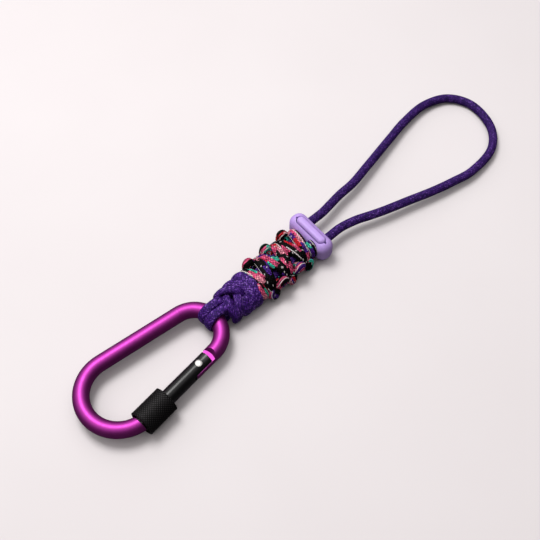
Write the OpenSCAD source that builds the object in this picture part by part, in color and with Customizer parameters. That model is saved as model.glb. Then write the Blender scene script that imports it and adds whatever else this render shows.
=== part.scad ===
// Screw-lock carabiner on a cord lanyard with a woven grip and a wrist loop.
// Origin: centre of the small end bend, in the mid-plane of the carabiner.
// +X runs along the lanyard, away from the carabiner. +Y is the spine side. +Z is up.

/* [Carabiner body] */
// Diameter of the round bar
rod_d = 7.5; // [7:0.1:8]
// Centreline radius of the wide end bend
nose_r = 17; // [16.5:0.1:17.5]
// Centreline radius of the small end bend, where the gate hinges
hinge_r = 12.5; // [12:0.1:13]
// Distance between the centres of the two end bends
centre_gap = 41; // [40.5:0.1:42]
// Thickness of the flat tongue that the gate straddles
tongue_t = 3.4; // [3:0.1:3.6]

/* [Gate] */
// Diameter of the gate
gate_d = 7.3; // [7.1:0.1:7.4]
// Distance of the rivet from the end of the small bend
rivet_at = 9.4; // [9.2:0.1:9.6]
// Diameter of the rivet's shank
rivet_d = 2.5; // [2.2:0.1:2.6]
// Diameter of the rivet's heads
rivet_head_d = 3.2; // [3:0.1:3.4]
// Radius that the gate's blade reaches from the rivet
blade_reach = 40.4; // [40.2:0.1:40.5]
// Thickness of the gate's blade
blade_t = 2.4; // [2:0.1:2.6]
// Diameter of the cross pin in the blade
latch_pin_d = 2; // [1.8:0.1:2]

/* [Gate spring] */
// Diameter of the plunger
plunger_d = 4; // [3.8:0.1:4]
// Tilt of the cam face on the end of the tongue, in degrees
cam_tilt = 20; // [18:1:22]
// Distance of the cam face from the rivet's axis
cam_h = 2.6; // [2.5:0.1:2.7]
// Wire diameter of the gate spring
spring_wire = 0.4; // [0.3:0.05:0.45]
// Number of coils in the gate spring
spring_coils = 8; // [6:1:9]

/* [Locking sleeve] */
// Outer diameter of the sleeve
sleeve_d = 12.5; // [12:0.1:12.8]
// Length of the sleeve
sleeve_len = 15.3; // [14:0.1:15.5]
// Distance of the sleeve's hinge-side face from the end of the small bend
sleeve_at = 29.5; // [29.4:0.1:30]
// Pitch of the thread on the gate
thread_pitch = 1; // [0.8:0.1:1.2]

/* [Cord] */
// Diameter of the round cord
cord_d = 4.2; // [3.8:0.1:4.2]
// Width of the cord where it lies flat over the bar
flat_cord_w = 4.1; // [3.8:0.1:4.1]
// Thickness of the cord where it lies flat over the bar
flat_cord_t = 2.6; // [2.4:0.1:2.8]
// Offset of the lanyard's centre line towards the spine
lanyard_y = 1.3; // [1:0.1:1.5]

/* [Knot and weave] */
// Where the knot starts along the lanyard
knot_from = 19.8; // [19.8:0.1:20.4]
// Where the knot ends along the lanyard
knot_to = 34.2; // [33.6:0.1:34.2]
// Where the weave starts along the lanyard
weave_from = 34.4; // [34.4:0.1:35]
// Where the weave ends along the lanyard
weave_to = 68.4; // [67.6:0.1:68.4]
// Width of the weave across its loops
weave_w = 20.4; // [20:0.1:20.8]
// Thickness of the knot and of the weave
weave_t = 12.6; // [12.2:0.1:12.8]
// Number of loops down each side of the weave
weave_loops = 6; // [4:1:6]
// Distance of each core cord from the centre line
core_y = 2.3; // [2.2:0.05:2.5]

/* [Cord lock] */
// Where the centre of the cord lock sits along the lanyard
lock_x = 73.9; // [73.8:0.1:74.2]
// Length of the cord lock, across the cords
lock_len = 25.2; // [24.8:0.1:26]
// Thickness of the cord lock, along the cords
lock_thick = 8.6; // [8.4:0.1:8.8]
// Height of the cord lock
lock_high = 12.4; // [12.2:0.1:12.8]
// How far the lock sits askew on the cords, in degrees
lock_skew = -2; // [-6:1:0]
// Length of the button
button_len = 18.4; // [18:0.1:18.8]
// Width of the button
button_w = 4.3; // [4:0.1:4.4]
// How far the button stands above the housing
button_proud = 0.7; // [0.4:0.1:1]
// How far the button travels when pressed
button_travel = 2; // [1.5:0.1:2]

/* [Wrist loop] */
// Distance of each cord from the centre line in the cord lock
leg_y = 6; // [5.9:0.05:6.1]
// Where the cords leave the straight and start to spread
spread_x = 87; // [87:0.5:90]
// Radius of the cord where it starts to spread
spread_r = 20; // [15:1:30]
// Centreline radius of the loop's round end
loop_r = 22; // [18:0.5:24]
// Where the centre of the loop's round end lies
loop_x = 172.5; // [160:0.5:180]
// Droop of the loop towards the ground, in degrees
loop_droop = 2.5; // [0:0.5:3]

/* [Hidden] */
$fn = 64;

// The two end bends are joined by tangents: the spine on +Y and the gate line on -Y.
belt_tilt = asin((nose_r - hinge_r) / centre_gap);
belt_len = centre_gap * cos(belt_tilt);
gate_start = [hinge_r * sin(belt_tilt), -hinge_r * cos(belt_tilt), 0];

// Clearances
running = 0.05;
slack = 0.1;
press = 0.02;

// Size of a cutting block, larger than the bar in every direction
cut = 14;

// Runs of bar and cord stop short of each other, and a ball a hair proud ties them.
join_gap = 0.1;
tie_proud = 0.03;

// The gate frame has its origin at the rivet. Its +X points to the hinge end of the
// gate line and its +Y points into the carabiner.
shoulder_r = 7.4;
shoulder_lean = 36;
ear_end = 5.1;
tongue_floor = -5.7;
tongue_inset = 0.05;
gate_tip = -35.2;
swing_r = 35.95;
web_y = -0.5;
pin_at = -38.5;
pin_y = 0.6;
pin_len = 3.6;
head_depth = 0.5;

// The plunger's round nose rests on the cam face.
plunger_r = plunger_d / 2;
plunger_nose = (cam_h + plunger_r) / cos(cam_tilt);
plunger_len = 5;
spigot_d = 2;
spigot_len = 1.6;
bore_end = -21.5;
spring_r = plunger_r - 0.35;

// Sleeve and thread
sleeve_from = -(sleeve_at + sleeve_len - rivet_at);
sleeve_to = -(sleeve_at - rivet_at);
crest_r = gate_d / 2 + 0.35;
sleeve_bore_r = crest_r + running;
counterbore_r = 5.3;
counterbore_len = 3.2;
edge = 0.4;

// The hitch lies round the bar in a plane across it.
hitch_angle = asin(lanyard_y / hinge_r);
hitch_r = rod_d / 2 + 0.6 + flat_cord_t / 2;
hitch_shift = 0.35;
hitch_wrap = 240;

// Knot and weave, and the cut ends of the weaving cord that are tucked under it
section_round = 5;
core_d = cord_d - 0.2;
tail_z = -4.2;
tail_d = 3.6;
tail_len = 7;

// Cord lock
bottom_wall = 1.3;
end_round = 5.4;
side_round = 3.4;
hole_reach = 10;
spring_pocket_d = 3.5;
button_bottom = -2.8;
lock_top = lock_high / 2 - 0.2;
lock_floor = lock_top - lock_high + bottom_wall;
lock_spring_r = 1.3;
lock_spring_wire = 0.35;
lock_spring_coils = 5;
lock_spring_top = 1.6;

// The wrist loop is a spreading arc, a straight run and a round end, mirrored.
sheath_wall = 0.8;
yarn_gap = 0.05;
leg_start = weave_to + 0.1;
arc_gap = norm([loop_x - spread_x, leg_y + spread_r]);
spread_angle = asin((spread_r + loop_r) / arc_gap) - atan2(leg_y + spread_r, loop_x - spread_x);
run_len = sqrt(arc_gap * arc_gap - (spread_r + loop_r) * (spread_r + loop_r));

// A round bar along X from x0 to x1.
module bar_x(x0, x1, d) {
    translate([x0, 0, 0])
        rotate([0, 90, 0])
            cylinder(h = x1 - x0, d = d);
}

// A flat shape in the XY plane with round ends, len along Y.
module stadium(len, width) {
    square([width, len - width], center = true);
    for (side = [-1, 1])
        translate([0, side * (len - width) / 2])
            circle(d = width);
}

// A rectangle with round corners.
module round_rect(w, h, r) {
    square([w - 2 * r, h], center = true);
    square([w, h - 2 * r], center = true);
    for (x = [-1, 1], y = [-1, 1])
        translate([x * (w / 2 - r), y * (h / 2 - r)])
            circle(r = r);
}

// A coil spring along Z from z0 to z1, as one closed tube.
module coil(z0, z1, r, wire, coils) {
    steps = 16 * coils;
    sides = 8;
    ring = [for (i = [0:steps], k = [0:sides - 1])
        let (turn = 360 * coils * i / steps,
             around = 360 * k / sides,
             out = r + wire / 2 * cos(around),
             rise = z0 + wire / 2 + (z1 - z0 - wire) * i / steps)
        [out * cos(turn), out * sin(turn), rise + wire / 2 * sin(around)]];
    skin = [for (i = [0:steps - 1], k = [0:sides - 1])
        let (next = (k + 1) % sides)
        [i * sides + k, (i + 1) * sides + k, (i + 1) * sides + next, i * sides + next]];
    start_cap = [for (k = [0:sides - 1]) k];
    end_cap = [for (k = [sides - 1:-1:0]) steps * sides + k];
    polyhedron(ring, concat(skin, [start_cap, end_cap]), convexity = 10);
}

module at_gate() {
    translate(gate_start)
        rotate([0, 0, belt_tilt])
            translate([-rivet_at, 0, 0])
                children();
}

module at_hitch() {
    translate([hinge_r * cos(hitch_angle), hinge_r * sin(hitch_angle), 0])
        rotate([0, 0, hitch_angle])
            children();
}

module at_lanyard() {
    translate([0, lanyard_y, 0])
        children();
}

module at_lock() {
    at_lanyard()
        translate([lock_x, 0, 0])
            children();
}

// A bent run of round bar: an arc from angle a0 to a1, held back from both ends.
module bend(r, a0, a1, d) {
    held = join_gap / r * 180 / PI;
    rotate([0, 0, a0 + held])
        rotate_extrude(angle = a1 - a0 - 2 * held)
            translate([r, 0])
                circle(d = d);
}

// A ball that ties two runs of bar together where their curve changes, its poles buried.
module tie(x, y, d) {
    translate([x, y, 0])
        rotate([0, 90, 0])
            sphere(d = d + 2 * tie_proud);
}

// The bent bar, from the gate line round the small end, along the spine and round the nose.
module bent_bar() {
    bend(hinge_r, belt_tilt - 90, 90 - belt_tilt, rod_d);
    tie(gate_start[0], gate_start[1], rod_d);
    tie(gate_start[0], -gate_start[1], rod_d);
    translate([gate_start[0], -gate_start[1], 0])
        rotate([0, 0, 180 - belt_tilt])
            bar_x(join_gap, belt_len - join_gap, rod_d);
    translate([-centre_gap, 0, 0]) {
        bend(nose_r, 90 - belt_tilt, 270 + belt_tilt, rod_d);
        tie(nose_r * sin(belt_tilt), nose_r * cos(belt_tilt), rod_d);
    }
    at_gate()
        bar_x(shoulder_r - 1, rivet_at - join_gap, rod_d);
}

// Where the cam face lies at height y of the gate frame.
function cam_x(y) = -(cam_h + y * sin(cam_tilt)) / cos(cam_tilt);

// The flat tongue: its end is the cam face, and its outer edge tapers under the gate.
module tongue() {
    inner = 3.1;
    notch = -1;
    outer = -4.1;
    heel_x = -4.3;
    heel_y = -2.9;
    root_x = shoulder_r + 1;
    intersection() {
        linear_extrude(tongue_t, center = true)
            polygon([[root_x, inner], [cam_x(inner), inner], [cam_x(notch), notch], [heel_x, heel_y],
                     [heel_x + edge, heel_y - edge], [shoulder_r, outer], [root_x, outer + edge]]);
        bar_x(tongue_floor - 1, root_x + 1, rod_d - 2 * tongue_inset);
    }
}

// The space behind the gate's ears: a concave wall that leans back above and below the tongue.
module shoulder_space() {
    web = tongue_t / 2;
    far = cut / 2;
    leant_r = shoulder_r + (far - web) * tan(shoulder_lean);
    rotate_extrude()
        polygon([[0, -far], [leant_r, -far], [shoulder_r, -web], [shoulder_r, web], [leant_r, far], [0, far]]);
}

// The space on the inner side of the web that closes the slot in the nose.
module above_web() {
    translate([pin_at - cut, web_y, -cut / 2])
        cube([2 * cut, cut, cut]);
}

// The slot and cross groove in the nose, open to the inside, that take the blade and pin.
module latch_slot() {
    groove_r = latch_pin_d / 2 + slack;
    intersection() {
        cylinder(r = blade_reach + slack, h = blade_t + 2 * slack, center = true);
        above_web();
    }
    difference() {
        intersection() {
            cylinder(r = groove_r - pin_at, h = pin_len + 2 * slack, center = true);
            above_web();
        }
        cylinder(r = -pin_at - groove_r, h = cut, center = true);
    }
}

module carabiner_body() {
    color("#A02A98")
    difference() {
        union() {
            difference() {
                bent_bar();
                at_gate()
                    shoulder_space();
                // concave nose face, clear of the swinging gate and sleeve
                at_gate()
                    intersection() {
                        cylinder(r = swing_r, h = cut, center = true);
                        translate([gate_tip - 3, -cut / 2, -cut / 2])
                            cube([2 * cut, cut, cut]);
                    }
            }
            at_gate()
                tongue();
        }
        at_gate()
            cylinder(d = rivet_d + 2 * running, h = cut, center = true);
        at_gate()
            latch_slot();
    }
}

// The thread that the sleeve runs on, as rings of one pitch.
module gate_thread() {
    turns = floor((sleeve_to - gate_tip) / thread_pitch) - 2;
    root_r = gate_d / 2 + 0.05;
    inner_r = gate_d / 2 - 0.6;
    tooth = [[root_r, 0], [crest_r, 0.3 * thread_pitch], [crest_r, 0.6 * thread_pitch]];
    rings = [for (i = [0:turns - 1], k = [0:2]) tooth[k] + [0, i * thread_pitch]];
    top = turns * thread_pitch;
    translate([gate_tip + edge, 0, 0])
        rotate([0, 90, 0])
            rotate_extrude()
                polygon(concat([[inner_r, 0]], rings, [[root_r, top], [inner_r, top]]));
}

// The flat blade on the gate's free end.
module blade() {
    blade_w = 3.8;
    root = 2;
    intersection() {
        translate([-blade_reach - 1, web_y + slack, -blade_t / 2])
            cube([blade_reach + gate_tip + root + 1, blade_w, blade_t]);
        cylinder(r = blade_reach, h = blade_t, center = true);
    }
}

module gate() {
    color("#17171A")
    at_gate()
    difference() {
        union() {
            bar_x(gate_tip, ear_end, gate_d);
            gate_thread();
            blade();
        }
        // slot for the tongue
        translate([tongue_floor, -cut / 2, -tongue_t / 2 - running])
            cube([cut, cut, tongue_t + 2 * running]);
        // bore for the plunger and its spring, drilled from the hinge end
        bar_x(bore_end, ear_end + 1, plunger_d + 2 * running);
        cylinder(d = rivet_d + 2 * press, h = cut, center = true);
        for (side = [-1, 1])
            translate([0, 0, side * (gate_d / 2 - head_depth + 1)])
                cylinder(d = rivet_head_d + 2 * press, h = 2, center = true);
        translate([pin_at, pin_y, 0])
            cylinder(d = latch_pin_d + 2 * press, h = cut, center = true);
    }
}

module gate_rivet() {
    seat = gate_d / 2 - head_depth;
    head_h = 0.75;
    dome_h = 0.4;
    dome_r = (pow(rivet_head_d / 2, 2) + pow(dome_h, 2)) / (2 * dome_h);
    color("#D8D8DC")
    at_gate() {
        cylinder(d = rivet_d, h = 2 * seat + press, center = true);
        for (side = [0, 1])
            mirror([0, 0, side])
                translate([0, 0, seat])
                    intersection() {
                        cylinder(d = rivet_head_d, h = head_h);
                        translate([0, 0, head_h - dome_r])
                            sphere(r = dome_r);
                    }
    }
}

module latch_pin() {
    color("#C4C4C8")
    at_gate()
        translate([pin_at, pin_y, 0])
            cylinder(d = latch_pin_d, h = pin_len, center = true);
}

// The spring-loaded plunger that pushes the gate shut against the cam face.
module gate_plunger() {
    color("#B8B8BC")
    at_gate()
        translate([-plunger_nose, 0, 0]) {
            sphere(d = plunger_d);
            bar_x(-plunger_len, 0, plunger_d);
            bar_x(-plunger_len - spigot_len, -plunger_len + slack, spigot_d);
        }
}

module gate_spring() {
    color("#9A9AA0")
    at_gate()
        rotate([0, -90, 0])
            coil(plunger_nose + plunger_len + press, -bore_end - press, spring_r, spring_wire,
                 spring_coils);
}

module locking_sleeve() {
    outer = sleeve_d / 2;
    color("#1B1B1E")
    at_gate()
        translate([sleeve_from, 0, 0])
            rotate([0, 90, 0])
                rotate_extrude()
                    polygon([[counterbore_r, 0], [outer - edge, 0], [outer, edge],
                             [outer, sleeve_len - edge], [outer - edge, sleeve_len],
                             [sleeve_bore_r, sleeve_len], [sleeve_bore_r, counterbore_len],
                             [counterbore_r, counterbore_len]]);
}

// One strand of the hitch: flat cord wrapped round the inside of the bend.
module hitch_strand(side) {
    color("#46237E")
    at_hitch()
        translate([-hitch_shift, side * (flat_cord_w / 2 + running), 0])
            rotate([90, 0, 0])
                rotate([0, 0, 180 - hitch_wrap / 2])
                    rotate_extrude(angle = hitch_wrap)
                        translate([hitch_r, 0])
                            stadium(flat_cord_w, flat_cord_t);
}

module hitch_strand_left() {
    hitch_strand(1);
}

module hitch_strand_right() {
    hitch_strand(-1);
}

// The rounded section that the knot and the weave share, along X.
module lanyard_section(x0, x1, w) {
    translate([x0, 0, 0])
        rotate([90, 0, 90])
            linear_extrude(x1 - x0)
                round_rect(w, weave_t, section_round);
}

module core_bores() {
    for (side = [-1, 1])
        translate([0, side * core_y, 0])
            bar_x(knot_from - 1, weave_to + 1, core_d + 2 * running);
}

module lanyard_knot() {
    near_w = 5;
    mid_w = 6.4;
    wide_w = 7.4;
    end_w = 6.9;
    third = (knot_to - knot_from) / 3;
    upper = [[knot_from, near_w], [knot_from + third, mid_w], [knot_from + 2 * third, wide_w],
             [knot_to, end_w]];
    lower = [for (i = [3:-1:0]) [upper[i][0], -upper[i][1]]];
    color("#46237E")
    at_lanyard()
    difference() {
        intersection() {
            lanyard_section(knot_from, knot_to, 2 * wide_w);
            linear_extrude(weave_t + 2, center = true)
                polygon(concat(upper, lower));
        }
        core_bores();
    }
}

module core_cord(side) {
    color("#3B1D6C")
    at_lanyard()
        translate([0, side * core_y, 0])
            bar_x(knot_from + slack, weave_to - slack, core_d);
}

module core_cord_left() {
    core_cord(1);
}

module core_cord_right() {
    core_cord(-1);
}

// One cut end of the weaving cord, tucked in along a core cord; extra makes room for it.
module weave_tail(side, extra) {
    translate([0, side * core_y, tail_z])
        bar_x(weave_to - tail_len - extra, weave_to - slack + 4 * extra, tail_d + 2 * extra);
}

// The woven grip: a bar with round loops down both sides.
module weave_cord() {
    pitch = (weave_to - weave_from) / weave_loops;
    loop_d = pitch + 4 * slack;
    color("#C4517F")
    at_lanyard()
    difference() {
        intersection() {
            lanyard_section(weave_from, weave_to, weave_w);
            linear_extrude(weave_t + 2, center = true) {
                translate([weave_from, -weave_w / 2 + loop_d / 2])
                    square([weave_to - weave_from, weave_w - loop_d]);
                for (i = [0:weave_loops - 1], side = [-1, 1])
                    translate([weave_from + (i + 0.5) * pitch, side * (weave_w - loop_d) / 2])
                        circle(d = loop_d);
            }
        }
        core_bores();
        for (side = [-1, 1])
            weave_tail(side, running);
    }
}

module weave_cord_end_left() {
    color("#1D1D26")
    at_lanyard()
        weave_tail(1, 0);
}

module weave_cord_end_right() {
    color("#1D1D26")
    at_lanyard()
        weave_tail(-1, 0);
}

// The rounded block of the cord lock, before its holes.
module lock_block() {
    rotate([0, 0, lock_skew])
        translate([0, 0, lock_top - lock_high / 2])
            intersection() {
                linear_extrude(lock_high, center = true)
                    stadium(lock_len, lock_thick);
                rotate([90, 0, 90])
                    linear_extrude(lock_thick, center = true)
                        round_rect(lock_len, lock_high, end_round);
                rotate([90, 0, 0])
                    linear_extrude(lock_len, center = true)
                        round_rect(lock_thick, lock_high, side_round);
            }
}

module cord_holes(d) {
    for (side = [-1, 1])
        translate([0, side * leg_y, 0])
            bar_x(-hole_reach, hole_reach, d);
}

module cord_lock_housing() {
    color("#B496E1")
    at_lock()
    difference() {
        lock_block();
        rotate([0, 0, lock_skew])
            translate([0, 0, lock_floor])
                linear_extrude(lock_high + hole_reach)
                    stadium(button_len + 2 * slack, button_w + 2 * slack);
        cord_holes(cord_d + 3 * slack);
    }
}

// The button: its cord windows are tall, so that the cords stay clear as it travels.
module cord_lock_button() {
    window = cord_d + 3 * slack;
    color("#C4A8EC")
    at_lock()
    difference() {
        rotate([0, 0, lock_skew])
            translate([0, 0, button_bottom])
                linear_extrude(lock_top + button_proud - button_bottom)
                    stadium(button_len, button_w);
        cord_holes(window);
        translate([0, 0, button_travel])
            cord_holes(window);
        for (side = [-1, 1])
            translate([-hole_reach, side * leg_y - window / 2, 0])
                cube([2 * hole_reach, window, button_travel]);
        translate([0, 0, button_bottom - 1])
            cylinder(d = spring_pocket_d, h = lock_spring_top - button_bottom + 1);
    }
}

module cord_lock_spring() {
    color("#9A9AA0")
    at_lock()
        coil(lock_floor + press, lock_spring_top - press, lock_spring_r, lock_spring_wire,
             lock_spring_coils);
}

// The wrist loop as a pipe of diameter d: straight legs, then the drooping loop. The
// legs start early by the given amount.
module wrist_loop(d, early) {
    run_x = spread_r * sin(spread_angle);
    run_y = leg_y + spread_r * (1 - cos(spread_angle));
    at_lanyard() {
        for (side = [-1, 1]) {
            translate([0, side * leg_y, 0])
                bar_x(leg_start - early, spread_x - join_gap, d);
            tie(spread_x, side * leg_y, d);
        }
        translate([spread_x, 0, 0])
            rotate([0, loop_droop, 0]) {
                for (side = [0, 1])
                    mirror([0, side, 0]) {
                        translate([0, leg_y + spread_r, 0])
                            bend(spread_r, -90, spread_angle - 90, d);
                        tie(run_x, run_y, d);
                        translate([run_x, run_y, 0])
                            rotate([0, 0, spread_angle]) {
                                bar_x(join_gap, run_len - join_gap, d);
                                tie(run_len, 0, d);
                            }
                    }
                translate([loop_x - spread_x, 0, 0])
                    bend(loop_r, -90 - spread_angle, 90 + spread_angle, d);
            }
    }
}

module wrist_loop_sheath() {
    color("#3C1A6E")
    difference() {
        wrist_loop(cord_d, 0);
        wrist_loop(cord_d - 2 * sheath_wall, 1);
    }
}

module wrist_loop_yarns() {
    color("#E8E4EE")
    wrist_loop(cord_d - 2 * sheath_wall - 2 * yarn_gap, 0);
}

carabiner_body();
gate();
gate_rivet();
latch_pin();
gate_plunger();
gate_spring();
locking_sleeve();
hitch_strand_left();
hitch_strand_right();
lanyard_knot();
core_cord_left();
core_cord_right();
weave_cord();
weave_cord_end_left();
weave_cord_end_right();
cord_lock_housing();
cord_lock_button();
cord_lock_spring();
wrist_loop_sheath();
wrist_loop_yarns();
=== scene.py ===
import math

import bmesh
import bpy
import numpy as np
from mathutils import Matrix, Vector


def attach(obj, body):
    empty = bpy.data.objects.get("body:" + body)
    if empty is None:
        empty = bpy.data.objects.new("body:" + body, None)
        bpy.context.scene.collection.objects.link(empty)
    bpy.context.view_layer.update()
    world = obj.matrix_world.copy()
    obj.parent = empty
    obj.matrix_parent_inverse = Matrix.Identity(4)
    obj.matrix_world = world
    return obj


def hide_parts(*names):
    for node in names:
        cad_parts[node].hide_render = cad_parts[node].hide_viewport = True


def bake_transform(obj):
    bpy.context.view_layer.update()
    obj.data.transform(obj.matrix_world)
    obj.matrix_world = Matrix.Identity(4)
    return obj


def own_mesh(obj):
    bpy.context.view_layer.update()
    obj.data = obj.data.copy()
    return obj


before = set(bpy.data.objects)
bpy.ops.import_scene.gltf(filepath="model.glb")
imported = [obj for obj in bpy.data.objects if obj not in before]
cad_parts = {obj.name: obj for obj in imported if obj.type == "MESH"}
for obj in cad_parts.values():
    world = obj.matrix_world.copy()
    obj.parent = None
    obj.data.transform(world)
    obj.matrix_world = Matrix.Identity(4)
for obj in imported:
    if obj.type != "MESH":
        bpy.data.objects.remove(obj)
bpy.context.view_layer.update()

MM = 0.001                      # shapes below are written in millimetres
AXIS_Y = 1.3                    # the lanyard's centre line lies this far towards the spine
SLANT, SLANT_FROM = 0.04, 47.0  # the soft parts lie at a slight slant to it, through this point
HITCH = np.array([12.43, AXIS_Y, 0.0])   # centre of the bar under the hitch
WEAVE_FROM = 36.0               # the knot ends and the weave starts here
BRAID_CELLS = 12                # crossings of the cord's braid round its girth
BRAID_PITCH = 1.30              # length of one crossing along the cord
BRAID_SAMPLES = 5               # mesh steps over one crossing
STEP = BRAID_PITCH / BRAID_SAMPLES      # distance between a cord's rows of points
Z_AXIS = np.array([0.0, 0.0, 1.0])


def axis_y(x):
    """Where the middle of the soft parts lies at x."""
    return AXIS_Y + SLANT * (x - SLANT_FROM)


# ---------------------------------------------------------------- materials

class Shader:
    """A node material with short calls for the nodes used here."""

    def __init__(self, name):
        self.mat = bpy.data.materials.new(name)
        self.mat.use_nodes = True
        self.tree = self.mat.node_tree
        self.bsdf = self.tree.nodes["Principled BSDF"]

    def node(self, kind, **settings):
        made = self.tree.nodes.new(kind)
        for key, value in settings.items():
            setattr(made, key, value)
        return made

    def feed(self, socket, value):
        if isinstance(value, bpy.types.NodeSocket):
            self.tree.links.new(value, socket)
        else:
            socket.default_value = value

    def calc(self, operation, a, b=0.0, c=0.0):
        made = self.node("ShaderNodeMath", operation=operation)
        for socket, value in zip(made.inputs, (a, b, c)):
            self.feed(socket, value)
        return made.outputs[0]

    def vector(self, x, y, z=0.0):
        made = self.node("ShaderNodeCombineXYZ")
        for socket, value in zip(made.inputs, (x, y, z)):
            self.feed(socket, value)
        return made.outputs[0]

    def noise(self, coords, scale, detail=3.0, rough=0.5):
        made = self.node("ShaderNodeTexNoise")
        self.feed(made.inputs["Vector"], coords)
        made.inputs["Scale"].default_value = scale
        made.inputs["Detail"].default_value = detail
        made.inputs["Roughness"].default_value = rough
        return made.outputs["Fac"]

    def chance(self, coords):
        made = self.node("ShaderNodeTexWhiteNoise", noise_dimensions="3D")
        self.feed(made.inputs["Vector"], coords)
        return made.outputs["Value"]

    def ramp(self, value, stops, steps=False):
        made = self.node("ShaderNodeValToRGB")
        made.color_ramp.interpolation = "CONSTANT" if steps else "LINEAR"
        points = made.color_ramp.elements
        while len(points) < len(stops):
            points.new(0.5)
        for point, (at, colour) in zip(points, stops):
            point.position = at
            point.color = tuple(colour) + (1.0,)
        self.feed(made.inputs[0], value)
        return made.outputs[0]

    def mix(self, share, a, b, blend="MIX"):
        made = self.node("ShaderNodeMix", data_type="RGBA", blend_type=blend)
        for name, value in (("Factor", share), ("A", a), ("B", b)):
            socket = [s for s in made.inputs if s.name == name and s.enabled
                      and (name == "Factor") == (s.type == "VALUE")][0]
            self.feed(socket, value)
        return [s for s in made.outputs if s.type == "RGBA"][0]

    def span(self, value, low, high):
        made = self.node("ShaderNodeMapRange")
        self.feed(made.inputs["Value"], value)
        made.inputs["To Min"].default_value = low
        made.inputs["To Max"].default_value = high
        return made.outputs[0]

    def bump(self, height, distance, strength=1.0, under=None):
        made = self.node("ShaderNodeBump")
        self.feed(made.inputs["Height"], height)
        made.inputs["Distance"].default_value = distance
        made.inputs["Strength"].default_value = strength
        if under is not None:
            self.feed(made.inputs["Normal"], under)
        return made.outputs[0]

    def set(self, **values):
        for key, value in values.items():
            self.feed(self.bsdf.inputs[key.replace("_", " ")], value)
        return self.mat


def rgb(r, g, b):
    """A colour read off as 0 to 255 sRGB, as the linear values that Blender mixes."""
    return tuple(((c / 255) / 12.92 if c <= 10 else ((c / 255 + 0.055) / 1.055) ** 2.4)
                 for c in (r, g, b))


def full(colour):
    """The colour with an alpha of one, as sockets take it."""
    return tuple(colour) + (1.0,)


def object_coords(s):
    return s.node("ShaderNodeTexCoord").outputs["Object"]


def cord_coords(s):
    """How far along a cord, in millimetres, and how far round it, from 0 to 1."""
    parts = s.node("ShaderNodeSeparateXYZ")
    s.feed(parts.inputs[0], s.node("ShaderNodeUVMap", uv_map="cord").outputs[0])
    return parts.outputs[0], parts.outputs[1]


def ridge(s, lattice):
    """A rise and fall over each cell of one set of a lattice's lines."""
    return s.calc("SINE", s.calc("MULTIPLY", s.calc("FRACT", lattice), math.pi))


def metal(name, colour, dark, rough, metallic=1.0, grain=0.000006, coat=0.0):
    """Satin metal: faint cloudy tone, fine grain in the finish, edges a little brighter with a painted
    highlight.
    """
    s = Shader(name)
    at = object_coords(s)
    cloud = s.noise(at, 260.0)
    fine = s.noise(at, 9000.0, 2.0)
    edge = s.node("ShaderNodeNewGeometry").outputs["Pointiness"]
    # painted highlight: where the surface is sharply convex, a brighter copy of the colour is mixed in
    edge_highlight = s.ramp(edge, [(0.53, (0, 0, 0)), (0.62, (1, 1, 1))])
    tone = s.mix(cloud, full(dark), full(colour))
    bright = full(tuple(min(1, c * 2 + 0.1) for c in colour))
    highlit = s.mix(s.calc("MULTIPLY", edge_highlight, 0.18), tone, bright)
    return s.set(Base_Color=highlit, Metallic=metallic,
                 Roughness=s.span(s.noise(at, 700.0), rough - 0.05, rough + 0.07),
                 Coat_Weight=coat, Coat_Roughness=0.25, Normal=s.bump(fine, grain, 0.5))


def knurl(name, lit_crest, shaded_groove, count, pitch):
    """Black knurled metal: painted shade makes the grooves near black, and a painted highlight, varying at
    random, makes the crests greyer.
    count crossings lie round the sleeve, pitch apart along it."""
    s = Shader(name)
    at = object_coords(s)
    along, around = cord_coords(s)
    turn = s.calc("MULTIPLY", around, float(count))
    step = s.calc("DIVIDE", along, pitch)
    ridges = [ridge(s, s.calc(way, turn, step)) for way in ("ADD", "SUBTRACT")]
    # painted shade in the grooves and painted highlight on the crests, following the knurl's height
    rise = s.ramp(s.calc("MINIMUM", *ridges), [(0.52, (0, 0, 0)), (0.98, (1, 1, 1))])
    highlit = s.mix(s.noise(at, 900.0), full(lit_crest), full(tuple(c * 0.6 for c in lit_crest)))
    return s.set(Base_Color=s.mix(rise, full(shaded_groove), highlit), Metallic=0.5,
                 Specular_IOR_Level=0.15, Roughness=s.span(s.noise(at, 2500.0), 0.46, 0.62),
                 Normal=s.bump(s.noise(at, 9000.0, 2.0), 0.00001, 0.5))


GLINTS = 0.033                  # share of the crossings given a painted glint, in the tracer's colour
LINES = 4                       # the tracer's lines round the cord
LINE_WIDTH, LINE_LENGTH, LINES_SHOWN = 0.06, 8.0, 0.62


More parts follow.
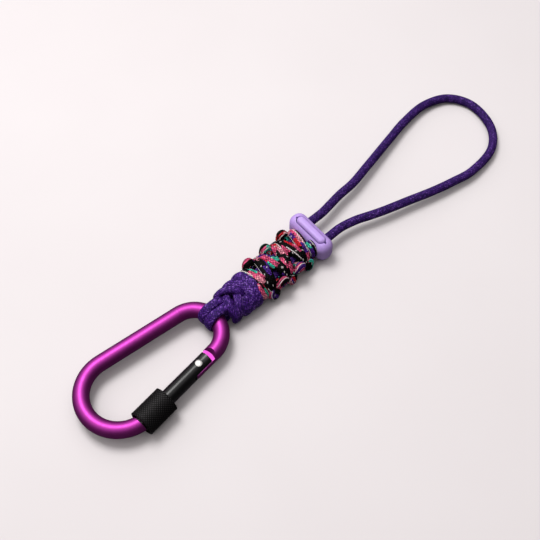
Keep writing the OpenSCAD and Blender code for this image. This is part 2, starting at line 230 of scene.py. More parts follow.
def dyed(s, along, around, braid, fleck, glint, colours, dye):
    """The tone of a cord dyed in short stretches, each lane round it on its own, with dark streaks
    along the lanes, with painted glints on a few crossings and broken lines, both in the tracer's colour."""
    far, wide = s.calc("MULTIPLY", along, 0.9), s.calc("MULTIPLY", around, 9.0)
    drift = s.noise(s.vector(far, wide), 1.0, 2.0, 0.6)
    lane = s.calc("MULTIPLY", around, float(dye["lanes"]))
    lane = s.calc("FLOOR", s.calc("ADD", lane, s.calc("MULTIPLY", drift, 0.5)))
    lane = s.calc("MODULO", lane, float(dye["lanes"]))
    reach = s.calc("ADD", s.calc("DIVIDE", along, dye["stretch"]), s.calc("MULTIPLY", drift, 0.8))
    wave = s.calc("SINE", s.calc("MULTIPLY", braid, math.pi))
    reach = s.calc("ADD", reach, s.calc("MULTIPLY", wave, 0.05))
    shift = s.calc("MULTIPLY", s.chance(s.vector(lane, 3.0, 7.0)), 9.0)
    stretch = s.calc("FLOOR", s.calc("ADD", reach, shift))
    tone = s.ramp(s.chance(s.vector(stretch, lane, 1.0)), colours, steps=True)
    far, wide = s.calc("MULTIPLY", along, 0.5), s.calc("MULTIPLY", around, 46.0)
    lit = s.ramp(s.noise(s.vector(far, wide, 5.0), 1.0, 1.0), [(0.40, (0.30, 0.30, 0.30)), (0.50, (1, 1, 1))])
    shade = s.calc("MULTIPLY", s.span(fleck, 0.50, 1.35), lit)
    tone = s.mix(1.0, tone, s.vector(shade, shade, shade), "MULTIPLY")
    # painted glints: a few crossings are lit up in the tracer's colour
    glint = s.calc("GREATER_THAN", glint, 1 - GLINTS)
    tone = s.mix(s.calc("MULTIPLY", glint, 0.6), tone, full(dye["tracer"]))
    lines = s.calc("MULTIPLY", around, float(LINES))
    line = s.calc("COMPARE", s.calc("FRACT", s.calc("ADD", lines, 0.23)), 0.5, LINE_WIDTH)
    length = s.calc("FLOOR", s.calc("DIVIDE", along, LINE_LENGTH))
    drawn = s.chance(s.vector(length, s.calc("FLOOR", lines), 2.0))
    shown = s.calc("GREATER_THAN", drawn, 1 - LINES_SHOWN)
    return s.mix(s.calc("MULTIPLY", line, shown), tone, full(dye["tracer"]))


def cord(name, colours, dye=None, dark=0.30, cells=BRAID_CELLS, pitch=BRAID_PITCH, shine=0.12):
    """Braided nylon: the braid's crossings, a tone for each yarn, painted shade, as deep as dark, where the
    crossings meet, fine fibres and a soft sheen.
    colours are ramp stops. dye gives the length of a dyed stretch, the lanes round the cord and
    the tracer's colour."""
    s = Shader(name)
    along, around = cord_coords(s)
    turn = s.calc("MULTIPLY", around, float(cells))
    step = s.calc("DIVIDE", along, pitch)
    a = s.calc("ADD", turn, step)
    b = s.calc("SUBTRACT", turn, step)
    cell_a, cell_b = s.calc("FLOOR", a), s.calc("FLOOR", b)
    ridge_a, ridge_b = ridge(s, a), ridge(s, b)
    column = s.calc("ADD", s.calc("ADD", cell_a, cell_b), 4000.0 * cells)
    column = s.calc("MODULO", column, 2.0 * cells)
    row = s.calc("SUBTRACT", cell_a, cell_b)
    slant = s.calc("MODULO", column, 2.0)

    def by_slant(one, other):
        """one on the crossings whose yarns lean one way, other on the rest."""
        one = s.calc("MULTIPLY", one, s.calc("SUBTRACT", 1.0, slant))
        return s.calc("ADD", one, s.calc("MULTIPLY", other, slant))

    crown = by_slant(s.calc("MULTIPLY", s.calc("POWER", ridge_a, 0.3), s.calc("POWER", ridge_b, 0.9)),
                     s.calc("MULTIPLY", s.calc("POWER", ridge_a, 0.9), s.calc("POWER", ridge_b, 0.3)))
    yarn = by_slant(*[s.calc("GREATER_THAN", s.calc("FRACT", lattice), 0.5) for lattice in (b, a)])
    fleck = s.chance(s.vector(column, row, yarn))
    if dye is None:
        slow = s.noise(s.vector(s.calc("MULTIPLY", along, 0.12), around), 1.6)
        mottle = s.calc("ADD", s.calc("MULTIPLY", fleck, 0.8), s.calc("MULTIPLY", slow, 0.25))
        tone = s.ramp(mottle, colours)
    else:
        glint = s.chance(s.vector(row, column, s.calc("ADD", yarn, 4.0)))
        tone = dyed(s, along, around, a, fleck, glint, colours, dye)
    tone = s.mix(s.calc("MULTIPLY", slant, 0.22), tone, (0.0, 0.0, 0.0, 1.0))
    # painted shade: the tone darkens, by dark, towards the edges of each crossing where the yarns meet
    crease_shaded = s.mix(crown, s.mix(1.0, tone, (dark, dark, dark, 1.0), "MULTIPLY"), tone)
    fibre = by_slant(*[s.noise(s.vector(s.calc("MULTIPLY", a, p), s.calc("MULTIPLY", b, q)), 1.0, 2.0, 0.6)
                       for p, q in ((0.8, 6.0), (6.0, 0.8))])
    cells_bump = s.bump(crown, 0.00012, 0.9)
    return s.set(Base_Color=crease_shaded, Roughness=s.span(fibre, 0.40, 0.62), Specular_IOR_Level=shine,
                 Sheen_Weight=0.01, Sheen_Roughness=0.35, Normal=s.bump(fibre, 0.00008, 0.7, cells_bump))


def plastic(name, colour, shade, rough):
    """Moulded nylon: a satin skin with a fine spark-eroded grain and slight cloudiness."""
    s = Shader(name)
    at = object_coords(s)
    tone = s.mix(s.noise(at, 180.0), full(shade), full(colour))
    skin = s.noise(at, 6500.0, 2.0)
    return s.set(Base_Color=tone, Roughness=s.span(s.noise(at, 1500.0), rough - 0.04, rough + 0.08),
                 Subsurface_Weight=0.12, Subsurface_Radius=(0.002, 0.001, 0.002), Subsurface_Scale=0.6,
                 Specular_IOR_Level=0.45, Normal=s.bump(skin, 0.000012, 0.5))


SLEEVE_R = 6.25                 # outside of the locking sleeve
KNURLS = 30                     # crossings round the sleeve
KNURL_DEPTH = 0.38
KNURL_PITCH = 2 * math.pi * SLEEVE_R / KNURLS

magenta = metal("anodised magenta", rgb(154, 53, 141), rgb(140, 43, 128), 0.47, coat=0.06)
black = metal("anodised black", rgb(13, 13, 15), rgb(7, 7, 8), 0.28, 0.62, coat=0.14)
# painted highlight on the crests, painted shade in the grooves
knurled = knurl("black knurl", rgb(58, 56, 58), rgb(2, 2, 2), KNURLS, KNURL_PITCH)
steel = metal("bright steel", rgb(232, 230, 228), rgb(205, 203, 202), 0.24)
spring_steel = metal("spring steel", rgb(178, 178, 182), rgb(150, 150, 155), 0.3)
purple = cord("purple cord", [
    (0.0, rgb(34, 8, 76)), (0.50, rgb(58, 20, 112)), (0.78, rgb(90, 44, 148)), (1.0, rgb(152, 108, 206))])
loop_purple = cord("wrist loop cord", [
    (0.0, rgb(30, 7, 70)), (0.50, rgb(50, 17, 98)), (0.80, rgb(72, 34, 126)), (1.0, rgb(116, 76, 170))])
INK = rgb(4, 4, 6)
DYE = {"stretch": 4.2, "lanes": 8, "tracer": rgb(236, 226, 228)}
multicolour = cord("multicolour cord", [
    (0.0, INK), (0.30, rgb(244, 92, 140)), (0.47, rgb(86, 40, 150)), (0.58, INK),
    (0.76, rgb(70, 214, 186)), (0.85, rgb(214, 34, 48)), (0.91, rgb(255, 156, 178))],
    DYE, dark=0.20, shine=0.06)
YARNS = 7                       # coarser crossings on the loop's inner yarns
yarn_white = cord("white yarns", [(0.0, rgb(214, 210, 218)), (1.0, rgb(244, 242, 246))],
                  cells=YARNS, pitch=3.0)
lavender = plastic("lavender nylon", rgb(176, 148, 214), rgb(162, 132, 202), 0.46)


def dress(obj, material):
    obj.data.materials.clear()
    obj.data.materials.append(material)
    return obj


def stand_for(obj, node, body=None):
    """obj is shown in place of the node, and rides body if one is given."""
    if body is not None:
        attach(obj, body)
    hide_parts(node)


# ---------------------------------------------------------------- mesh building

class Build:
    """Collects vertices, faces and cord coordinates, then makes one object."""

    def __init__(self):
        self.points, self.faces, self.marks = [], [], []
        self.count = 0

    def grid(self, rows, along, around, flip=False):
        """A skin over closed rows of points; along gives each row's place, around each column's."""
        n, m = rows.shape[0], rows.shape[1]
        base = self.count
        self.points.append(rows.reshape(-1, 3))
        self.count += n * m
        for i in range(n - 1):
            for j in range(m):
                k = (j + 1) % m
                low, high = base + i * m, base + (i + 1) * m
                quad = [low + j, low + k, high + k, high + j]
                v0, v1 = around[j], around[j + 1]
                mark = [(along[i], v0), (along[i], v1), (along[i + 1], v1), (along[i + 1], v0)]
                if flip:
                    quad.reverse()
                    mark.reverse()
                self.faces.append(quad)
                self.marks.append(mark)
        return base

    def cap(self, start, m, along, flip):
        """Closes one end row of m points with a fan round its middle."""
        row = np.concatenate(self.points)[start:start + m]
        self.points.append(row.mean(axis=0)[None, :])
        middle = self.count
        self.count += 1
        for j in range(m):
            tri = [middle, start + (j + 1) % m, start + j]
            mark = [(along, (j + 0.5) / m), (along, (j + 1) / m), (along, j / m)]
            if flip:
                tri.reverse()
                mark.reverse()
            self.faces.append(tri)
            self.marks.append(mark)

    def ring(self, outer, inner, m, along, flip):
        """Closes the gap between two end rows of m points, as on a hollow cord."""
        for j in range(m):
            k = (j + 1) % m
            quad = [outer + j, inner + j, inner + k, outer + k]
            mark = [(along, j / m), (along, j / m), (along, (j + 1) / m), (along, (j + 1) / m)]
            if flip:
                quad.reverse()
                mark.reverse()
            self.faces.append(quad)
            self.marks.append(mark)

    def make(self, name, material):
        mesh = bpy.data.meshes.new(name)
        mesh.from_pydata((np.concatenate(self.points) * MM).tolist(), [], self.faces)
        layer = mesh.uv_layers.new(name="cord")
        marks = np.array([place for mark in self.marks for place in mark], float)
        layer.data.foreach_set("uv", marks.reshape(-1))
        mesh.polygons.foreach_set("use_smooth", [True] * len(mesh.polygons))
        mesh.update()
        obj = bpy.data.objects.new(name, mesh)
        bpy.context.scene.collection.objects.link(obj)
        return dress(obj, material)


def unit(v):
    return v / np.maximum(np.linalg.norm(v, axis=-1, keepdims=True), 1e-9)


def travelled(points):
    """The distance gone along the points at each of them."""
    return np.concatenate([[0], np.cumsum(np.linalg.norm(np.diff(points, axis=0), axis=1))])


def through(points, fine=40):
    """A smooth curve through the points, as points a STEP apart, with how many of the given points
    lie behind each."""
    p = np.array(points, float)
    p = np.vstack([2 * p[0] - p[1], p, 2 * p[-1] - p[-2]])
    parts, ways = [], []
    for i in range(1, len(p) - 2):
        t = np.linspace(0, 1, fine, endpoint=False)[:, None]
        a, b, c, d = p[i - 1], p[i], p[i + 1], p[i + 2]
        parts.append(0.5 * (2 * b + (c - a) * t + (2 * a - 5 * b + 4 * c - d) * t ** 2
                            + (3 * b - a - 3 * c + d) * t ** 3))
        ways.append(i - 1 + t[:, 0])
    dense = np.vstack(parts + [p[-2][None, :]])
    way = np.concatenate(ways + [np.array([len(points) - 1.0])])
    return even(dense, way)


def even(dense, way):
    """The same curve with its points about a STEP apart, all evenly."""
    gone = travelled(dense)
    count = max(8, int(round(gone[-1] / STEP)))
    at = np.linspace(0, gone[-1], count + 1)
    spaced = np.stack([np.interp(at, gone, dense[:, k]) for k in range(dense.shape[1])], 1)
    return spaced, np.interp(at, gone, way)


def lay_cord(build, centre, out, half_w, half_t, cells=BRAID_CELLS, lump=0.13, square=1.0,
             inner=None, start=0.0, cap_len=1.2):
    """A braided cord along centre, its flat side facing out. half_w and half_t may vary along it,
    lump is the height of its crossings and square below 1 makes it boxier. inner makes it hollow,
    with that share of the half sizes as the bore. A solid cord's ends are domed over cap_len."""
    n = len(centre)
    tangent = unit(np.gradient(centre, axis=0))
    side = unit(np.cross(out, tangent))
    face = unit(np.cross(tangent, side))
    half_w = np.broadcast_to(np.asarray(half_w, float), (n,)).copy()
    half_t = np.broadcast_to(np.asarray(half_t, float), (n,)).copy()
    gone = travelled(centre)
    if inner is None:
        near = np.minimum(gone, gone[-1] - gone) / cap_len
        ease = np.sqrt(np.clip(1 - (1 - np.clip(near, 0.0, 1)) ** 2, 0.02, 1))
    else:
        ease = np.ones(n)
    m = cells * BRAID_SAMPLES
    phi = np.arange(m) / m * 2 * math.pi
    c = np.sign(np.cos(phi)) * np.abs(np.cos(phi)) ** square
    s = np.sign(np.sin(phi)) * np.abs(np.sin(phi)) ** square
    a = cells * phi[None, :] / (2 * math.pi) + (gone[:, None] + start) / BRAID_PITCH
    b = cells * phi[None, :] / (2 * math.pi) - (gone[:, None] + start) / BRAID_PITCH
    crown = np.sqrt(np.abs(np.sin(math.pi * a) * np.sin(math.pi * b)))
    grow = lump * (crown - 0.6) * ease[:, None]
    wide = half_w[:, None] * ease[:, None] + grow
    thick = half_t[:, None] * ease[:, None] + grow
    rows = (centre[:, None, :] + side[:, None, :] * (wide * c)[:, :, None]
            + face[:, None, :] * (thick * s)[:, :, None])
    along = gone + start
    around = np.arange(m + 1) / m
    base = build.grid(rows, along, around)
    end = base + (n - 1) * m
    if inner is None:
        build.cap(base, m, along[0], False)
        build.cap(end, m, along[-1], True)
        return
    hole = (centre[:, None, :] + side[:, None, :] * (half_w[:, None] * inner * c)[:, :, None]
            + face[:, None, :] * (half_t[:, None] * inner * s)[:, :, None])
    bore = build.grid(hole, along, around, flip=True)
    build.ring(base, bore, m, along[0], True)
    build.ring(end, bore + (n - 1) * m, m, along[-1], False)


def from_axis(points):
    """Directions away from the middle of the soft parts."""
    away = np.array(points, float)
    away[:, 1] -= axis_y(away[:, 0])
    away[:, 0] = 0
    return unit(away)


def turned(points):
    """The same points turned half a turn about the middle of the soft parts."""
    p = np.array(points, float)
    return np.stack([p[:, 0], 2 * axis_y(p[:, 0]) - p[:, 1], -p[:, 2]], 1)


# ---------------------------------------------------------------- hitch


def hitch_cord(name, node, y, lift, wide=2.1):
    """One flat strand of the hitch: out of the knot, over the bar, round it and back under."""
    reach, tight = 5.35, 4.85   # from the bar's centre to the strand's, above it and behind it
    path = [(24.0, y * 0.5 + 0.6, 1.2), (20.6, y * 0.8 + 0.3, 2.9), (17.0, y, 4.8 + lift)]
    for turn in range(90, 271, 20):
        angle = math.radians(turn)
        path.append((HITCH[0] + tight * math.cos(angle), y, (reach + lift * 0.3) * math.sin(angle)))
    path += [(17.0, y, -5.0), (20.6, y * 0.8 + 0.3, -3.9), (24.0, y * 0.5 + 0.6, -2.2)]
    centre, _ = through(path)
    away = centre - HITCH - np.array([4.0, 0, 0]) * np.clip((centre[:, :1] - HITCH[0]) / 4.0, 0, 1)
    away[:, 1] = 0
    round_bar = np.clip((HITCH[0] + 1.0 - centre[:, 0]) / 5.0, 0, 1)
    build = Build()
    lay_cord(build, centre, unit(away), wide + 0.2 * round_bar, 1.45 - 0.55 * round_bar, square=0.85)
    obj = build.make(name, purple)
    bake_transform(obj)
    stand_for(obj, node)


hitch_cord("hitch_cord_left", "hitch_strand_left", AXIS_Y + 2.2, 0.25)
hitch_cord("hitch_cord_right", "hitch_strand_right", AXIS_Y - 2.2, 0.0)

# ---------------------------------------------------------------- knot

KNOT_TURNS = [   # where each turn of the knot passes, then its half width and half thickness
    ([(22.8, 4.2, 2.2), (22.0, 3.0, 5.0), (20.8, 0.4, 6.3), (19.6, -2.4, 5.6), (19.3, -4.6, 2.8),
      (19.8, -5.0, -1.0), (21.6, -3.0, -2.8)], 1.65, 1.45),
    ([(27.0, 2.4, 2.6), (26.4, 1.0, 5.2), (25.1, -1.6, 6.7), (23.4, -4.6, 5.4), (22.6, -6.1, 1.8),
      (22.9, -5.6, -2.0), (24.4, -3.2, -3.4)], 1.80, 1.5),
    ([(23.4, 3.4, -4.2), (20.8, 5.8, -2.6), (19.6, 6.7, 1.2), (20.0, 6.5, 5.0), (22.4, 5.4, 7.8),
      (25.2, 3.4, 8.5), (27.4, 0.8, 7.7), (28.6, -1.6, 4.6)], 1.85, 1.35),
    ([(26.6, 3.4, -4.4), (25.4, 6.4, -2.8), (25.6, 7.6, 1.4), (27.6, 6.6, 5.6), (30.4, 3.0, 7.8),
      (31.6, -2.0, 7.2), (30.6, -6.0, 4.2), (29.2, -7.0, -0.8), (28.8, -4.0, -3.8)], 2.5, 1.6),
    ([(31.4, 4.0, -4.4), (31.6, 7.2, -2.8), (32.4, 8.3, 1.4), (33.4, 6.8, 5.4), (34.1, 1.6, 7.0),
      (33.8, -3.6, 6.0), (32.8, -6.8, 1.8), (32.0, -6.4, -2.6), (31.6, -3.6, -4.2)], 2.75, 1.7),
]
KNOT_FLAT = 0.78                # the knot is wider than it is thick
KNOT_UNDER = 0.82               # and flatter still underneath, where it lies on the table

knot = Build()
for points, half_w, half_t in KNOT_TURNS:
    points = [(x, y, z * KNOT_FLAT) for x, y, z in points]
    under = turned(points)
    under[:, 2] *= KNOT_UNDER
    for path in (np.array(points), under):
        centre, _ = through(path)
        lay_cord(knot, centre, from_axis(centre), half_w, half_t, square=0.85, start=path[0][0] * 9)
knot_obj = knot.make("lanyard_knot_cord", purple)
stand_for(knot_obj, "lanyard_knot", "lanyard")

# ---------------------------------------------------------------- core cords, with the knot's filling

CORE_OUT = [(19.8, 1.75), (24, 3.25), (31, 3.5), (38, 3.25), (66, 3.25), (69.2, 3.75)]  # x, off the middle

for name, node, side in (("core_cord_l", "core_cord_left", 1), ("core_cord_r", "core_cord_right", -1)):
    build = Build()
    centre, _ = through([(x, axis_y(x) + side * out, 0) for x, out in CORE_OUT])
    in_knot = np.clip(np.minimum(centre[:, 0] - 23.0, WEAVE_FROM - centre[:, 0]) / 5, 0, 1)
    fat = 2.05 + 2.2 * in_knot      # the cord turns on itself inside the knot and fills it
    lay_cord(build, centre, np.broadcast_to(Z_AXIS, centre.shape),
             np.minimum(fat, 3.4), np.minimum(fat * 1.15, 4.9))
    stand_for(build.make(name, purple), node, "lanyard")

# ---------------------------------------------------------------- weave

CROSSING = 5.5                  # length of weave taken by one crossing
CROSSINGS = 6
LEAN = 1.9                      # how far a bar leans along the lanyard, each way from its middle
# Points of a bar and of a bump: the share of its way along the lanyard, then off the middle, then up.
BAR = [(-1.0, 7.0, 0.4), (-0.85, 6.1, 2.5), (-0.5, 3.5, 4.2), (0.0, 0.0, 4.7),
       (0.5, -3.5, 4.2), (0.85, -6.1, 2.5), (1.0, -7.0, 0.4)]
BUMP = [(-0.30, 8.4, -1.0), (0.10, 9.1, -2.5), (0.5, 9.3, -3.1), (0.90, 9.1, -2.5), (1.30, 8.4, -1.0)]
TUCK = [(0.4, 7.2, -2.0), (0.7, 5.2, -4.0), (0.6, 2.6, -4.4)]    # the same in an end, in mm along
DYE_FROM = {1: 40, -1: 250}     # where along the dyed cord each strand starts


def weave_strand(sign):
    """One of the weave's two cords: bars over one face, and a long bump at each side of the other."""
    path = []
    for k in range(CROSSINGS):
        x = WEAVE_FROM + CROSSING * (k + 0.5)
        side = sign * (1 if k % 2 == 0 else -1)
        if k == 0:
            path += [(x - LEAN - step, axis_y(x) + side * y, sign * z) for step, y, z in reversed(TUCK)]
        path += [(x + LEAN * share, axis_y(x) + side * y, sign * z) for share, y, z in BAR]
        if k < CROSSINGS - 1:
            gap = CROSSING - 2 * LEAN
            path += [(x + LEAN + gap * share, axis_y(x) - side * y, sign * z) for share, y, z in BUMP]
        else:
            path += [(x + LEAN + step, axis_y(x) - side * y, sign * z) for step, y, z in TUCK]
    centre, way = through(path)
    way = way - len(TUCK)
    period = len(BAR) + len(BUMP)
    over = np.clip(1.0 - np.abs((way % period) - (len(BAR) - 1) / 2) / 3.0, 0, 1)
    return centre, over


weave = Build()
for sign in (1, -1):
    centre, over = weave_strand(sign)
    lay_cord(weave, centre, from_axis(centre), 2.25 + 0.6 * over, 2.1 - 0.4 * over, square=0.9,
             start=DYE_FROM[sign])
weave_obj = weave.make("woven_grip", multicolour)
stand_for(weave_obj, "weave_cord", "lanyard")

TAIL = [(60.5, 2.4, -4.4), (64.0, 2.5, -5.0), (68.6, 2.9, -4.6)]   # x, then off the middle, then z

for name, node, side in (("weave_tail_l", "weave_cord_end_left", 1),
                         ("weave_tail_r", "weave_cord_end_right", -1)):
    tail = Build()
    centre, _ = through([(x, axis_y(x) + side * y, z) for x, y, z in TAIL])
    lay_cord(tail, centre, from_axis(centre), 1.7, 1.4, start=500 + 60 * side)
    stand_for(tail.make(name, multicolour), node, "lanyard")

# ---------------------------------------------------------------- wrist loop

LEG_Y = 6.0                     # each leg of the loop lies this far off the middle in the lock
DROOP = math.tan(math.radians(2.5))     # the loop sinks to the table at this slope
STRAIGHT_TO = 87.0              # from here on
LOCK_X = 74.5
LOCK_Y = axis_y(LOCK_X)
LEG_LEFT, LEG_RIGHT = LOCK_Y + LEG_Y, LOCK_Y - LEG_Y
LOOP_SHAPE = [(66.0, LEG_LEFT - 2.0), (70.0, LEG_LEFT), (80.0, LEG_LEFT), (87.5, LEG_LEFT), (94.0, 9.3),
              (102.0, 10.5), (112.0, 11.3), (124.0, 13.9), (136.0, 16.6), (148.0, 19.3), (160.0, 21.8),
              (176.0, 22.9), (189.4, 18.0), (195.6, 6.0), (191.8, -9.8), (180.4, -19.9), (163.0, -22.7),
              (150.0, -20.8), (138.0, -18.1), (125.0, -14.3), (112.0, -10.6), (104.0, -7.9), (97.0, -5.4),
              (88.5, LEG_RIGHT - 0.1), (80.0, LEG_RIGHT), (70.0, LEG_RIGHT), (66.0, LEG_RIGHT + 2.0)]
shape = [(x, y, -max(0.0, x - STRAIGHT_TO) * DROOP) for x, y in LOOP_SHAPE]
loop_centre, _ = through(shape)
upward = np.broadcast_to(Z_AXIS, loop_centre.shape)
for name, node, radius, inner, material, slot in (
        ("wrist_loop_cover", "wrist_loop_sheath", 2.15, 0.62, loop_purple, "purple_cord"),
        ("wrist_loop_core", "wrist_loop_yarns", 1.25, None, yarn_white, "white_yarn")):
    build = Build()
    if inner is None:
        lay_cord(build, loop_centre[2:-2:4], upward[2:-2:4], radius, radius, cells=YARNS, lump=0.05)
    else:
        lay_cord(build, loop_centre, upward, radius, radius, inner=inner)
    stand_for(build.make(name, material), node, "lanyard")


# ---------------------------------------------------------------- cord lock

def rounded_block(half, radius, steps=14):
    """A block of half sizes half with every edge rounded, as a closed mesh.
    Each face has steps rows over each rounded edge and as many over its flat middle."""
    bm = bmesh.new()
    made = {}

    def corner(p):
        """The vertex at p, drawn in to the rounded edge and shared with the faces beside."""
        inner = [max(-(h - radius), min(h - radius, c)) for c, h in zip(p, half)]
        off = Vector([c - i for c, i in zip(p, inner)])
        q = Vector(inner) + off.normalized() * radius
        key = tuple(round(c, 5) for c in q)
        if key not in made:
            made[key] = bm.verts.new(q)
        return made[key]

    def place(u, h):
        """From -h to h as u goes from 0 to 1, a third of the way for each edge."""
        flat = h - radius
        if u < 1 / 3:
            return -flat - radius * (1 - u * 3)
        if u > 2 / 3:
            return flat + radius * (u * 3 - 2)
        return -flat + 2 * flat * (u * 3 - 1)

    marks = [i / (3 * steps) for i in range(3 * steps + 1)]
    for fixed in range(3):
        a, b = [k for k in range(3) if k != fixed]
        for sign in (-1, 1):
            for i in range(len(marks) - 1):
                for j in range(len(marks) - 1):
                    quad = []
                    for u, v in ((marks[i], marks[j]), (marks[i + 1], marks[j]),
                                 (marks[i + 1], marks[j + 1]), (marks[i], marks[j + 1])):
                        p = [0.0, 0.0, 0.0]
                        p[fixed] = sign * half[fixed]
                        p[a], p[b] = place(u, half[a]), place(v, half[b])
                        quad.append(corner(p))
                    quad = list(dict.fromkeys(quad))
                    if len(quad) > 2 and not bm.faces.get(quad):
                        bm.faces.new(quad)
    bmesh.ops.recalc_face_normals(bm, faces=bm.faces)
    return bm


def pill(length, width, z0, z1, round_top=0.0, sides=24, rings=6):
    """A closed bar with round ends in plan, from z0 to z1, its top edge rounded."""
    bm = bmesh.new()
    layers = [(z0, 0.0)]
    if round_top:
        for k in range(rings + 1):
            angle = math.pi / 2 * k / rings
            layers.append((z1 - round_top * (1 - math.sin(angle)), round_top * (1 - math.cos(angle))))
    else:
        layers.append((z1, 0.0))
    rows = []
    for z, inset in layers:
        row = []
        for end in (1, -1):
            for k in range(sides + 1):
                angle = math.pi * k / sides + (0 if end > 0 else math.pi)
                r = width / 2 - inset
                y = end * (length - width) / 2 + r * math.sin(angle)
                row.append(bm.verts.new((r * math.cos(angle), y, z)))
        rows.append(row)
    for low, high in zip(rows, rows[1:]):
        for k in range(len(low)):
            n = (k + 1) % len(low)
            bm.faces.new((low[k], low[n], high[n], high[k]))
    bm.faces.new(list(reversed(rows[0])))
    bm.faces.new(rows[-1])
    bmesh.ops.recalc_face_normals(bm, faces=bm.faces)
    return bm


def rod_along_x(y, radius, reach=9.0, tall=0.0, sides=28):
    """A closed round bar along X, stretched upwards by tall."""
    bm = bmesh.new()
    rows = []
    for x in (-reach, reach):
        row = []
        for k in range(sides):
            angle = 2 * math.pi * (k + 0.5) / sides
            lift = tall if math.sin(angle) > 0 else 0.0
            row.append(bm.verts.new((x, y + radius * math.cos(angle), radius * math.sin(angle) + lift)))
        rows.append(row)
    for k in range(sides):
        n = (k + 1) % sides
        bm.faces.new((rows[0][k], rows[0][n], rows[1][n], rows[1][k]))
    bm.faces.new(list(reversed(rows[0])))
    bm.faces.new(rows[1])
    bmesh.ops.recalc_face_normals(bm, faces=bm.faces)
    return bm


def to_object(bm, name, turn=0.0, move=(0, 0, 0)):
    """The mesh as an object in metres, turned about Z and moved, both in its vertices."""
    c, s = math.cos(math.radians(turn)), math.sin(math.radians(turn))
    for v in bm.verts:
        x, y, z = v.co
        v.co = Vector((c * x - s * y + move[0], s * x + c * y + move[1], z + move[2])) * MM
    mesh = bpy.data.meshes.new(name)
    bm.to_mesh(mesh)
    bm.free()
    obj = bpy.data.objects.new(name, mesh)
    bpy.context.scene.collection.objects.link(obj)
    return obj


def finish_mesh(obj, cutters, bevel, segments=3):
    """Cuts the cutters out of obj, softens its edges and leaves one plain mesh."""
    for cutter in cutters:
        cut = obj.modifiers.new("cut", "BOOLEAN")
        cut.operation = "DIFFERENCE"
        cut.solver = "EXACT"
        cut.object = cutter
    soft = obj.modifiers.new("soft", "BEVEL")
    soft.width = bevel * MM
    soft.segments = segments
    soft.limit_method = "ANGLE"
    soft.angle_limit = math.radians(32)
    bpy.context.view_layer.update()
    seen = obj.evaluated_get(bpy.context.evaluated_depsgraph_get())
    made = bpy.data.meshes.new_from_object(seen)
    obj.modifiers.clear()
    obj.data = made
    for cutter in cutters:
        bpy.data.objects.remove(cutter)
    for polygon in made.polygons:
        polygon.use_smooth = True
    return obj


LOCK_SKEW = -2.0                # degrees the lock sits askew on its cords
LOCK_TOP, LOCK_HIGH = 6.0, 12.4
LOCK_HALF = (4.55, 12.8, LOCK_HIGH / 2)
LOCK_ROUND = 4.1                # radius of its edges
LOCK_FLOOR = LOCK_TOP - LOCK_HIGH + 1.3     # bottom of the button's pocket
LOCK_PLACE = (LOCK_X, LOCK_Y, 0.0)
POCKET_SIZE, BUTTON_SIZE, SEAT_SIZE = (18.9, 4.8), (18.4, 4.3), (6.2, 3.9)
POCKET_PLACE = (LOCK_X - 0.14, LOCK_Y, 0.0)
SEAT_PLACE = (LOCK_X - 0.3, (LOCK_Y + AXIS_Y) / 2, 0.0)
BUTTON_LOW, BUTTON_TOP = -2.8, LOCK_TOP + 0.8
VENTS = [(-0.3, 9.3), (-0.1, -9.5)]         # small moulded notches at the pocket's ends
CLEAR = 20.0                    # beyond the lock, for a cutter's far end

block = rounded_block(LOCK_HALF, LOCK_ROUND)
bmesh.ops.translate(block, verts=block.verts, vec=(0, 0, LOCK_TOP - LOCK_HIGH / 2))
housing = to_object(block, "cord_lock_body", LOCK_SKEW, LOCK_PLACE)
cutters = [to_object(pill(*POCKET_SIZE, LOCK_FLOOR, CLEAR), "pocket", LOCK_SKEW, POCKET_PLACE)]
cutters += [to_object(rod_along_x(side * LEG_Y, 2.28), "hole", 0, LOCK_PLACE) for side in (-1, 1)]
cutters += [to_object(pill(1.3, 1.2, 2.6, CLEAR), "vent", 0, (LOCK_X + x, LOCK_Y + y, 0.0)) for x, y in VENTS]
finish_mesh(housing, cutters, 0.22)
stand_for(dress(housing, lavender), "cord_lock_housing", "cord_lock")

button = to_object(pill(*BUTTON_SIZE, BUTTON_LOW, BUTTON_TOP, 1.6), "cord_lock_press", LOCK_SKEW, LOCK_PLACE)
cutters = [to_object(rod_along_x(side * LEG_Y, 2.25, tall=2.0), "window", 0, LOCK_PLACE) for side in (-1, 1)]
cutters += [to_object(pill(*SEAT_SIZE, -9.0, 1.6), "seat", 0, SEAT_PLACE)]
finish_mesh(button, cutters, 0.12, 2)
stand_for(dress(button, lavender), "cord_lock_button", "lock_button")

# ---------------------------------------------------------------- knurled sleeve

HINGE_R, NOSE_R, CENTRE_GAP = 12.5, 17.0, 41.0   # the body's two bends and how far apart they are
RIVET_BACK = 9.4                # the rivet lies this far along the gate line from the small bend
GATE_TILT = math.asin((NOSE_R - HINGE_R) / CENTRE_GAP)
ALONG = np.array([math.cos(GATE_TILT), math.sin(GATE_TILT), 0.0])
ACROSS = np.array([-math.sin(GATE_TILT), math.cos(GATE_TILT), 0.0])
RIVET = -ACROSS * HINGE_R - ALONG * RIVET_BACK
SLEEVE_FROM, SLEEVE_LEN = -35.4, 15.3   # along the gate from the rivet
PLAIN_END = 0.6                 # the knurl stops this far from each end
SLEEVE_BORE, COUNTERBORE = 4.05, 5.3
COUNTERBORE_TO = 3.2


